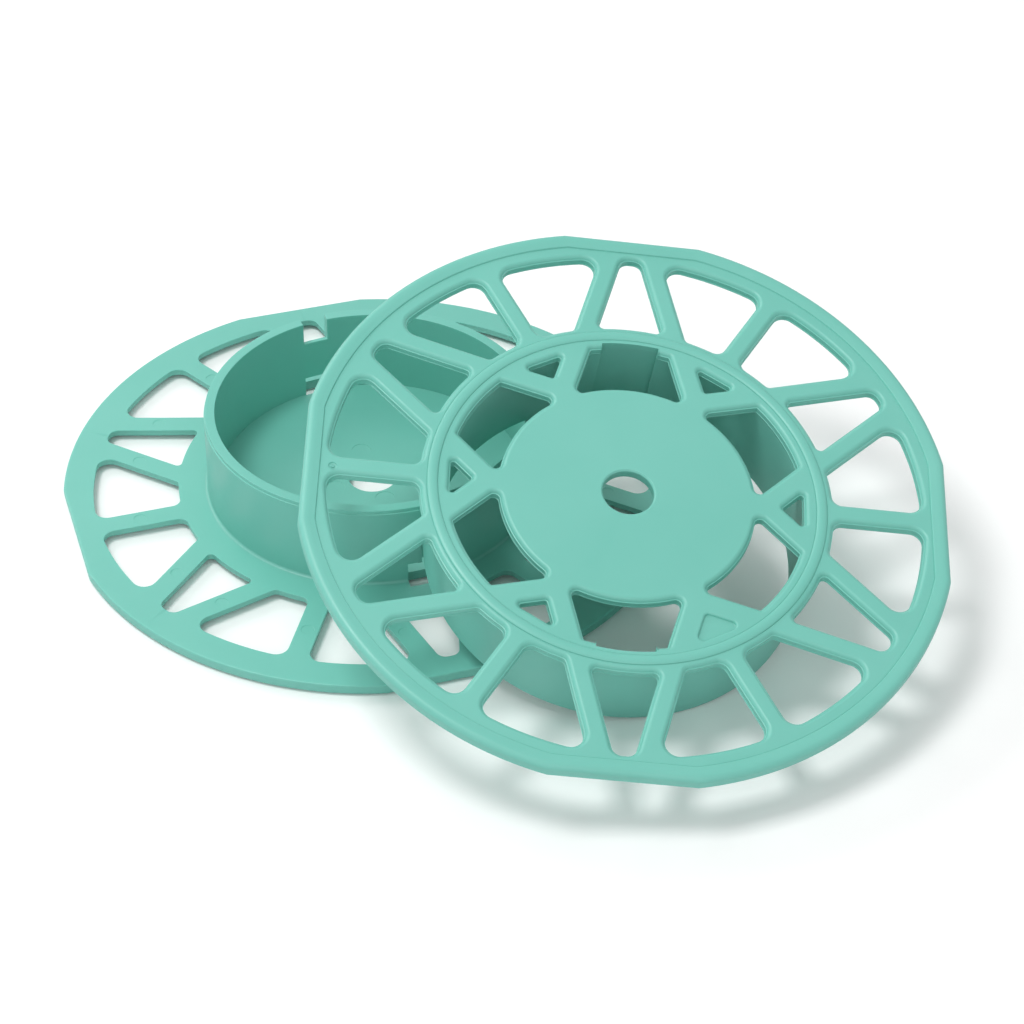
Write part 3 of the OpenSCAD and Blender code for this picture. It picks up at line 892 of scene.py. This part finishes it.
def nodes_of(material):
    """The material's node tree, emptied, with a helper that adds and links nodes."""
    material.use_nodes = True
    tree = material.node_tree
    tree.nodes.clear()

    def add(kind, inputs=None, **settings):
        node = tree.nodes.new(kind)
        for key, value in settings.items():
            setattr(node, key, value)
        for key, value in (inputs or {}).items():
            if isinstance(value, bpy.types.NodeSocket):
                tree.links.new(value, node.inputs[key])
            else:
                node.inputs[key].default_value = value
        return node

    return add


def moulded_plastic(name, finish, place):
    """Satin moulded plastic: faint flow streaks at random, a fine grain and soft scuffs."""
    add = nodes_of(bpy.data.materials.new(name))
    back = place.inverted()
    coords = add("ShaderNodeTexCoord")
    local = add("ShaderNodeMapping", {"Vector": coords.outputs["Object"]}, vector_type="POINT")
    local.inputs["Rotation"].default_value = back.to_euler()
    local.inputs["Location"].default_value = back.to_translation()
    at = local.outputs["Vector"]
    streak = add("ShaderNodeTexNoise", {"Vector": at, "Scale": 14.0, "Detail": 4.0, "Roughness": 0.6})
    tone = add("ShaderNodeMapRange", {"Value": streak.outputs["Fac"], "From Min": 0.35, "From Max": 0.7})
    body, pale = (*finish.body, 1), (*finish.pale, 1)
    paint = add("ShaderNodeMix", {"Factor": tone.outputs["Result"]}, data_type="RGBA")
    paint.inputs["A"].default_value, paint.inputs["B"].default_value = body, pale
    grain = add("ShaderNodeTexNoise", {"Vector": at, "Scale": 2600.0, "Detail": 2.0})
    scuff = add("ShaderNodeTexNoise", {"Vector": at, "Scale": 70.0, "Detail": 6.0, "Roughness": 0.7})
    rough = add("ShaderNodeMapRange", {
        "Value": scuff.outputs["Fac"], "From Min": 0.3, "From Max": 0.75,
        "To Min": finish.roughness - 0.05, "To Max": finish.roughness + 0.08,
    })
    wave = add("ShaderNodeTexNoise", {"Vector": at, "Scale": 55.0, "Detail": 1.0})
    soft = add("ShaderNodeBump", {"Height": wave.outputs["Fac"], "Strength": 0.12, "Distance": 0.0006})
    bump = add("ShaderNodeBump", {
        "Height": grain.outputs["Fac"], "Strength": 0.1, "Distance": 0.00005,
        "Normal": soft.outputs["Normal"],
    })
    plastic = add("ShaderNodeBsdfPrincipled", {
        "Base Color": paint.outputs[2], "Roughness": rough.outputs["Result"],
        "Normal": bump.outputs["Normal"], "IOR": 1.58, "Subsurface Weight": finish.glow,
        "Subsurface Scale": 0.004, "Subsurface Radius": (0.5, 1.0, 0.9),
    })
    add("ShaderNodeOutputMaterial", {"Surface": plastic.outputs["BSDF"]})
    return bpy.data.materials[name]


class SPOOL_OT_drum_half(bpy.types.Operator):
    """Build the half that lies flat, with its inner drum up"""

    bl_idname = "spool.drum_half"
    bl_label = "Drum Half"

    def execute(self, context):
        scene = context.scene
        f, d = sizes_in_mm(scene.spool_flange), sizes_in_mm(scene.spool_drums)
        lock = lock_window(d)
        skins = flange_skin(f, flange_windows(f), [lock, turned(lock, math.pi)], drum_half_marks(f))
        skins += [inner_drum_skin(d)] + root_skin(d)
        material = moulded_plastic("drum_half_plastic", scene.spool_finish, Matrix())
        piece = spool_object("drum_half_moulding", skins, Matrix(), material)
        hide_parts("drum_half")
        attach(piece, "drum_half")
        return {"FINISHED"}


class SPOOL_OT_cover_half(bpy.types.Operator):
    """Build the half that leans on the other, with its web and outer drum"""

    bl_idname = "spool.cover_half"
    bl_label = "Cover Half"

    def execute(self, context):
        scene = context.scene
        f, d = sizes_in_mm(scene.spool_flange), sizes_in_mm(scene.spool_drums)
        web = [turned(web_window(d), i * SPOKE_PITCH) for i in range(6)]
        for i in (1, 4):
            web[i] = turned(relieved(web_window(d), d), i * SPOKE_PITCH)
        trims = [turned(trim_window(d), i * SPOKE_PITCH) for i in (0, 2, 3, 4, 5)]
        place = cover_place(scene.spool_drums.spin)
        blind = turned(trim_window(d), SPOKE_PITCH)
        blind[:, :2] += d["blind_spread"] * blind[:, 2:] + d["blind_shift"] * ray(SPOKE_PITCH)
        blind = (blind, d["blind_depth"], d["blind_round"])
        at, floor = gate_mark(f), f["gate_depth"] - f["plate"]
        gate = (*at, f["gate_radius"], f["gate_depth"])
        skins = flange_skin(f, flange_windows(f) + web + trims, [], outer_marks=[gate], blinds=[blind])
        skins += stub(at, f["gate_radius"] * STUB_SHARE, floor + STUB_FOOT, floor - STUB_HEIGHT)
        skins.append(cover_drum_skin(d))
        material = moulded_plastic("cover_half_plastic", scene.spool_finish, place)
        piece = spool_object("cover_half_moulding", skins, place, material)
        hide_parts("cover_half")
        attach(piece, "cover_half")
        return {"FINISHED"}


def soft_box(name, location, width, height, power):
    """White area light at a place, turned towards the spool."""
    lamp = bpy.data.lights.new(name, "AREA")
    lamp.shape, lamp.size, lamp.size_y = "RECTANGLE", width, height
    lamp.energy = power
    box = bpy.data.objects.new(name, lamp)
    box.location = location
    box.rotation_euler = (Vector(LIGHT_AIM) - Vector(location)).to_track_quat("-Z", "Y").to_euler()
    bpy.context.scene.collection.objects.link(box)


def white_floor(size, height):
    """Plain floor whose white shows to the camera, with the halves' shadow on it."""
    data = bpy.data.meshes.new("floor")
    half = size / 2
    data.from_pydata(
        [(-half, -half, height), (half, -half, height), (half, half, height), (-half, half, height)],
        [], [(0, 1, 2, 3)],
    )
    floor = bpy.data.objects.new("floor", data)
    bpy.context.scene.collection.objects.link(floor)
    add = nodes_of(bpy.data.materials.new("floor_paper"))
    rays = add("ShaderNodeLightPath")
    seen = add("ShaderNodeBsdfDiffuse", {"Color": (FLOOR_SEEN, FLOOR_SEEN, FLOOR_SEEN, 1)})
    paper = add("ShaderNodeBsdfDiffuse", {"Color": (FLOOR_LIT, FLOOR_LIT, FLOOR_LIT, 1)})
    both = add("ShaderNodeMixShader", {
        0: rays.outputs["Is Camera Ray"], 1: paper.outputs[0], 2: seen.outputs[0],
    })
    add("ShaderNodeOutputMaterial", {"Surface": both.outputs[0]})
    data.materials.append(bpy.data.materials["floor_paper"])
    floor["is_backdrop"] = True
    return floor


class SPOOL_OT_stage(bpy.types.Operator):
    """Set the camera, the soft lights and the white floor"""

    bl_idname = "spool.stage"
    bl_label = "Stage"

    def execute(self, context):
        scene = context.scene
        low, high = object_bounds()
        white_floor(FLOOR_SIZE, low[2])
        for box in SOFT_BOXES:
            soft_box(*box)
        world = bpy.data.worlds.new("studio")
        scene.world = world
        world.use_nodes = True
        shade = world.node_tree.nodes["Background"]
        shade.inputs["Color"].default_value = (1.0, 1.0, 1.0, 1)
        shade.inputs["Strength"].default_value = SURROUND
        camera = bpy.data.objects.new("camera", bpy.data.cameras.new("camera"))
        scene.collection.objects.link(camera)
        camera.data.lens = CAMERA_LENS
        camera.data.clip_start, camera.data.clip_end = CAMERA_REACH
        camera.location = CAMERA_PLACE
        look = (Vector(CAMERA_AIM) - camera.location).to_track_quat("-Z", "Y").to_matrix().to_4x4()
        roll = Matrix.Rotation(math.radians(CAMERA_ROLL_DEGREES), 4, "Z")
        camera.matrix_world = Matrix.Translation(camera.location) @ look @ roll
        scene.camera = camera
        scene.view_settings.view_transform = "Standard"
        return {"FINISHED"}


class SPOOL_PT_panel(bpy.types.Panel):
    """Sidebar panel with the steps that build the spool"""

    bl_idname = "SPOOL_PT_panel"
    bl_label = "Wire Spool"
    bl_space_type = "VIEW_3D"
    bl_region_type = "UI"
    bl_category = "Spool"

    def draw(self, context):
        for step in STEPS:
            self.layout.operator(step.bl_idname)
        for group in ("spool_flange", "spool_drums", "spool_finish"):
            values = getattr(context.scene, group)
            for name in values.__annotations__:
                self.layout.prop(values, name)


STEPS = (SPOOL_OT_drum_half, SPOOL_OT_cover_half, SPOOL_OT_stage)
CLASSES = (SpoolFlangeSizes, SpoolDrumSizes, SpoolFinish) + STEPS + (SPOOL_PT_panel,)


def register():
    """Register the classes and hang the properties on the scene."""
    for cls in CLASSES:
        bpy.utils.register_class(cls)
    bpy.types.Scene.spool_flange = bpy.props.PointerProperty(type=SpoolFlangeSizes)
    bpy.types.Scene.spool_drums = bpy.props.PointerProperty(type=SpoolDrumSizes)
    bpy.types.Scene.spool_finish = bpy.props.PointerProperty(type=SpoolFinish)


def unregister():
    """Undo register."""
    del bpy.types.Scene.spool_finish
    del bpy.types.Scene.spool_drums
    del bpy.types.Scene.spool_flange
    for cls in reversed(CLASSES):
        bpy.utils.unregister_class(cls)


def main():
    register()
    bpy.ops.spool.drum_half()
    bpy.ops.spool.cover_half()
    bpy.ops.spool.stage()


if __name__ == "__main__":
    main()
